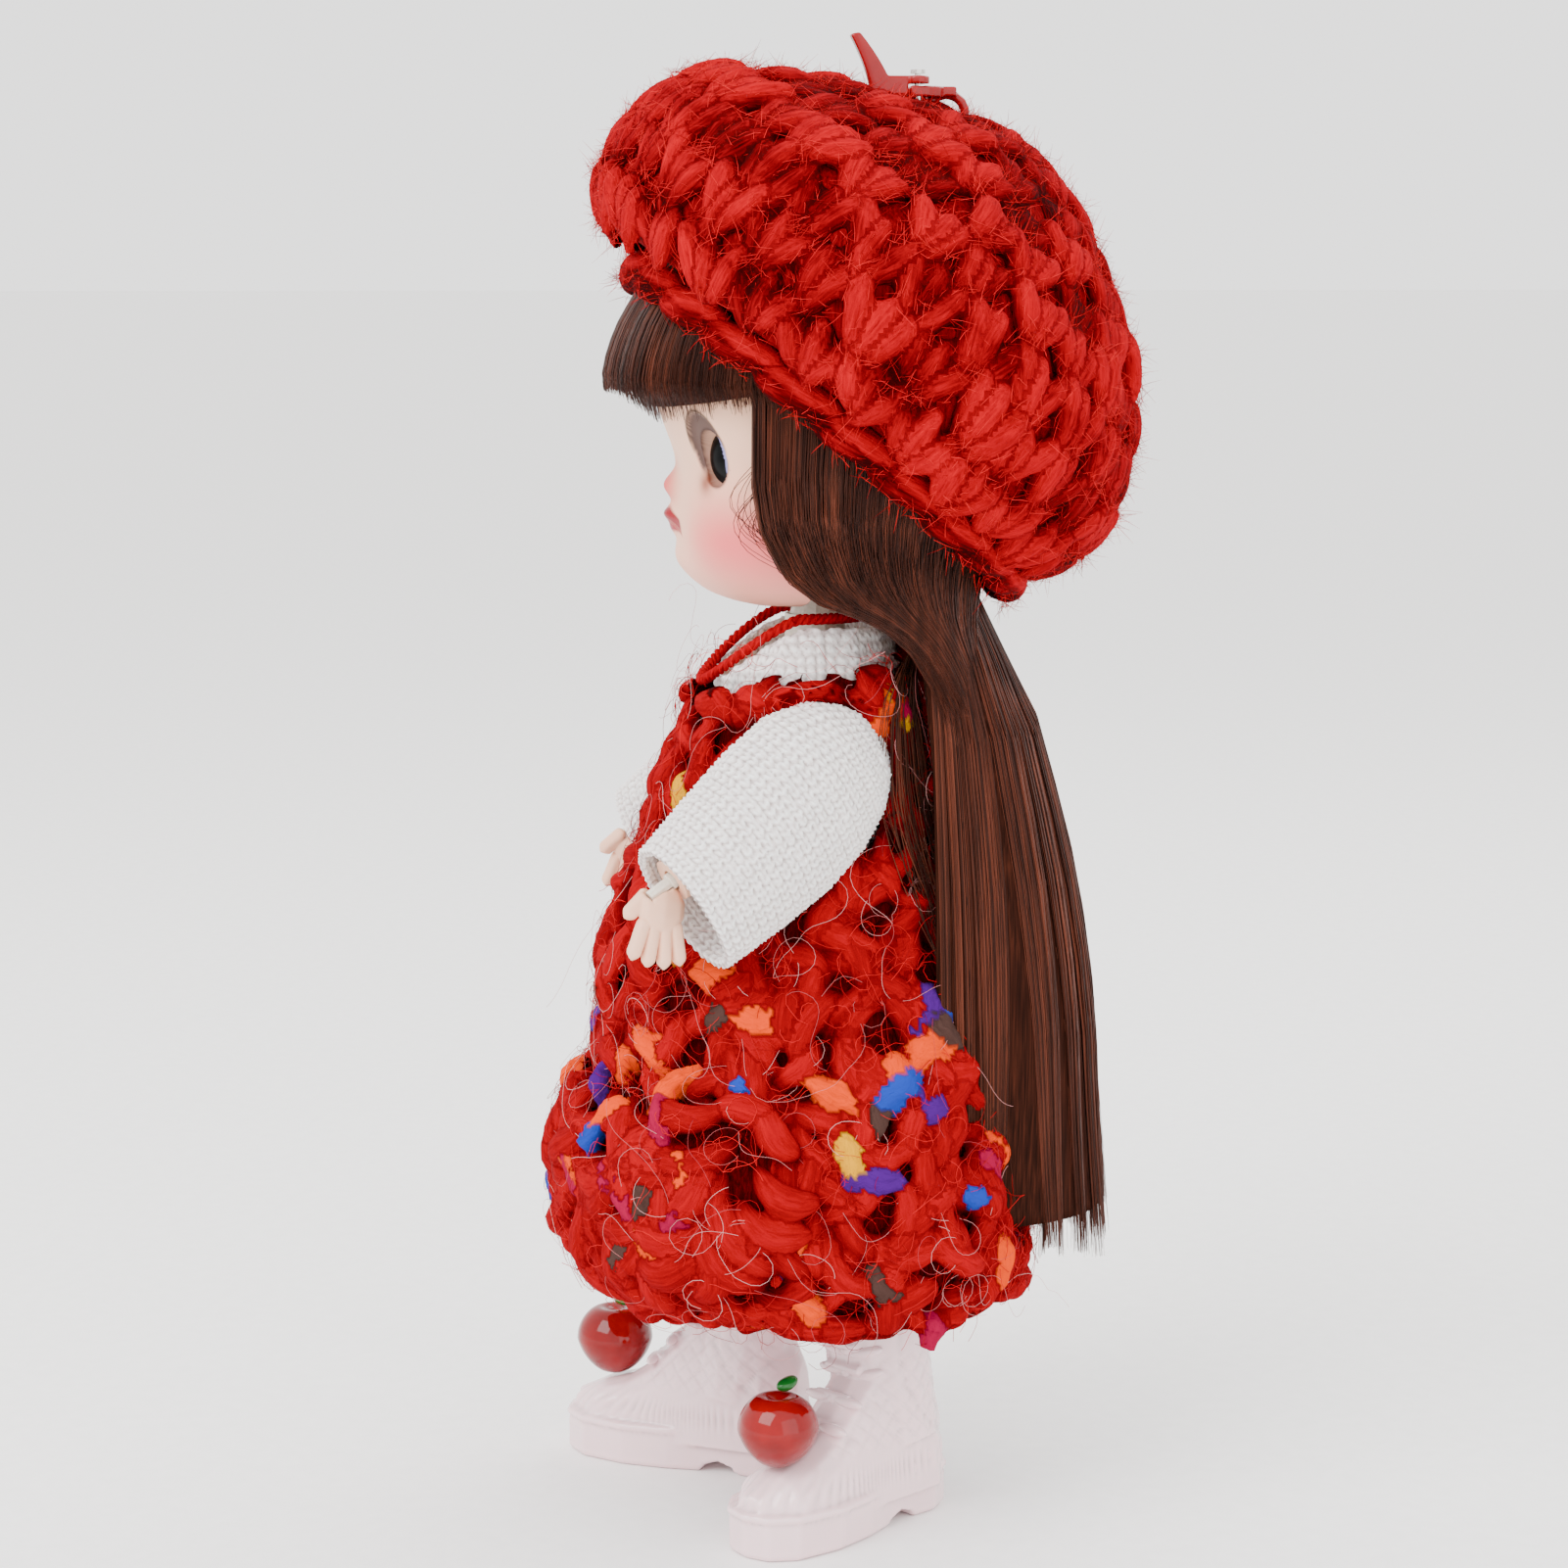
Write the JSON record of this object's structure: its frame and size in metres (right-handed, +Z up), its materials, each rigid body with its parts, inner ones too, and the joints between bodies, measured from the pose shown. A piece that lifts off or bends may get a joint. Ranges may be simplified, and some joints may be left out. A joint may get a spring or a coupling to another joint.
{
  "type": "jointed doll charm",
  "caption": "Jointed doll charm with a crocheted hat, dress and lace-up boots, and a trigger clasp on the hat that hangs it from a bag or key ring",
  "frame": {"origin": "centre of the bounding box at floor level, under the soles", "axes": "+Z up from the soles to the hat, -Y the way the doll faces, +X its left hand side"},
  "size_m": [0.0706, 0.066, 0.1708],
  "materials": {
    "skin": "satin moulded vinyl",
    "core": "plain moulded plastic",
    "eye": "high gloss",
    "steel": "bright",
    "hair": "straight silky fibre",
    "hat_wool": "fuzzy chunky crochet",
    "yarn": "twisted cord",
    "clasp_enamel": "gloss enamel",
    "shirt_knit": "fine stockinette",
    "dress_wool": "flecked boucle crochet",
    "boot_vinyl": "gloss",
    "apple": "high gloss",
    "leaf": "gloss"
  },
  "bodies": {
    "torso": {"torso_front": "skin", "torso_back": "skin", "torso_screw_upper": "steel", "torso_screw_lower": "steel", "shirt_body": "shirt_knit", "collar_trim": "yarn", "dress": "dress_wool", "dress_pocket": "dress_wool"},
    "neck": {"neck_post": "skin", "hair_fall": "hair"},
    "head": {"face_plate": "skin", "head_back": "core", "head_screw": "steel", "eye_left": "eye", "eye_right": "eye", "eye_carrier": "core", "hair_cap": "hair", "bangs": "hair", "side_hair_left": "hair", "side_hair_right": "hair", "beret_crown": "hat_wool", "beret_brim": "hat_wool", "hang_loop": "yarn"},
    "clasp": {"clasp_body": "clasp_enamel", "gate_pin": "steel", "gate_spring": "steel"},
    "gate": {"clasp_gate": "clasp_enamel"},
    "shoulder_left": {"shoulder_disc_left": "core"},
    "upper_arm_left": {"upper_arm_left": "skin", "elbow_pin_left": "steel", "sleeve_left": "shirt_knit"},
    "forearm_left": {"forearm_left": "skin"},
    "hand_left": {"hand_left": "skin", "wrist_peg_left": "core"},
    "shoulder_right": {"shoulder_disc_right": "core"},
    "upper_arm_right": {"upper_arm_right": "skin", "elbow_pin_right": "steel", "sleeve_right": "shirt_knit"},
    "forearm_right": {"forearm_right": "skin"},
    "hand_right": {"hand_right": "skin", "wrist_peg_right": "core"},
    "hip_left": {"hip_disc_left": "core"},
    "thigh_left": {"thigh_left": "skin", "knee_pin_left": "steel"},
    "shin_left": {"shin_left": "skin"},
    "boot_left": {"boot_left": "boot_vinyl", "foot_left": "skin", "apple_left": "apple", "apple_leaf_left": "leaf"},
    "hip_right": {"hip_disc_right": "core"},
    "thigh_right": {"thigh_right": "skin", "knee_pin_right": "steel"},
    "shin_right": {"shin_right": "skin"},
    "boot_right": {"boot_right": "boot_vinyl", "foot_right": "skin", "apple_right": "apple", "apple_leaf_right": "leaf"}
  },
  "joints": [
    {"name": "neck_turn", "type": "hinge", "parent": "torso", "child": "neck", "pos_m": [-0.00008, -0.00323, 0.092], "axis": [0, 0, 1], "range_deg": [-60, 60], "deforming": ["hair_fall"]},
    {"name": "head_nod", "type": "hinge", "parent": "neck", "child": "head", "pos_m": [-0.00008, -0.00223, 0.1096], "axis": [1, 0, 0], "range_deg": [-8, 5]},
    {"name": "clasp_tilt", "type": "hinge", "parent": "head", "child": "clasp", "pos_m": [-0.00008, 0.01177, 0.1619], "axis": [-1, 0, 0], "range_deg": [0, 105]},
    {"name": "gate_swing", "type": "hinge", "parent": "clasp", "child": "gate", "pos_m": [0.00222, 0.00817, 0.1619], "axis": [0, 0, -1], "range_deg": [0, 20], "stiffness_Nm_per_rad": 0.0006, "springref_deg": -17.19},
    {"name": "shoulder_swing_left", "type": "hinge", "parent": "torso", "child": "shoulder_left", "pos_m": [0.01392, -0.00383, 0.089], "axis": [-1, 0, 0], "range_deg": [-22, 55]},
    {"name": "arm_raise_left", "type": "hinge", "parent": "shoulder_left", "child": "upper_arm_left", "pos_m": [0.01392, -0.00383, 0.089], "axis": [0, -0.5446, 0.8387], "range_deg": [0, 50]},
    {"name": "elbow_left", "type": "hinge", "parent": "upper_arm_left", "child": "forearm_left", "pos_m": [0.01803, -0.01329, 0.08286], "axis": [-0.9397, -0.2868, -0.1863], "range_deg": [0, 75], "deforming": ["sleeve_left"]},
    {"name": "wrist_left", "type": "hinge", "parent": "forearm_left", "child": "hand_left", "pos_m": [0.02172, -0.0218, 0.07733], "axis": [-0.342, 0.7881, 0.5118], "range_deg": [-90, 90]},
    {"name": "shoulder_swing_right", "type": "hinge", "parent": "torso", "child": "shoulder_right", "pos_m": [-0.01408, -0.00383, 0.089], "axis": [-1, 0, 0], "range_deg": [-22, 55]},
    {"name": "arm_raise_right", "type": "hinge", "parent": "shoulder_right", "child": "upper_arm_right", "pos_m": [-0.01408, -0.00383, 0.089], "axis": [0, 0.5446, -0.8387], "range_deg": [0, 50]},
    {"name": "elbow_right", "type": "hinge", "parent": "upper_arm_right", "child": "forearm_right", "pos_m": [-0.01818, -0.01329, 0.08286], "axis": [-0.9397, 0.2868, 0.1863], "range_deg": [0, 75], "deforming": ["sleeve_right"]},
    {"name": "wrist_right", "type": "hinge", "parent": "forearm_right", "child": "hand_right", "pos_m": [-0.02187, -0.0218, 0.07733], "axis": [-0.342, -0.7881, -0.5118], "range_deg": [-90, 90]},
    {"name": "hip_swing_left", "type": "hinge", "parent": "torso", "child": "hip_left", "pos_m": [0.00692, -0.00273, 0.061], "axis": [-1, 0, 0], "range_deg": [-9, 24]},
    {"name": "hip_spread_left", "type": "hinge", "parent": "hip_left", "child": "thigh_left", "pos_m": [0.00692, -0.00145, 0.05209], "axis": [0, -0.9898, -0.1426], "range_deg": [-3, 8]},
    {"name": "knee_left", "type": "hinge", "parent": "thigh_left", "child": "shin_left", "pos_m": [0.00755, 0.00026, 0.04023], "axis": [0.9986, -0.0075, 0.0518], "range_deg": [0, 20]},
    {"name": "ankle_left", "type": "hinge", "parent": "shin_left", "child": "boot_left", "pos_m": [0.00891, 0.00396, 0.01453], "axis": [-0.0523, -0.1424, 0.9884], "range_deg": [-35, 25]},
    {"name": "hip_swing_right", "type": "hinge", "parent": "torso", "child": "hip_right", "pos_m": [-0.00708, -0.00273, 0.061], "axis": [-1, 0, 0], "range_deg": [-27, 7]},
    {"name": "hip_spread_right", "type": "hinge", "parent": "hip_right", "child": "thigh_right", "pos_m": [-0.00708, -0.00422, 0.05212], "axis": [0, 0.9863, -0.165], "range_deg": [-3, 8]},
    {"name": "knee_right", "type": "hinge", "parent": "thigh_right", "child": "shin_right", "pos_m": [-0.00771, -0.0062, 0.0403], "axis": [0.9986, -0.0086, -0.0516], "range_deg": [0, 34]},
    {"name": "ankle_right", "type": "hinge", "parent": "shin_right", "child": "boot_right", "pos_m": [-0.00907, -0.01048, 0.0147], "axis": [-0.0523, -0.1648, -0.9849], "range_deg": [-30, 25]}
  ]
}
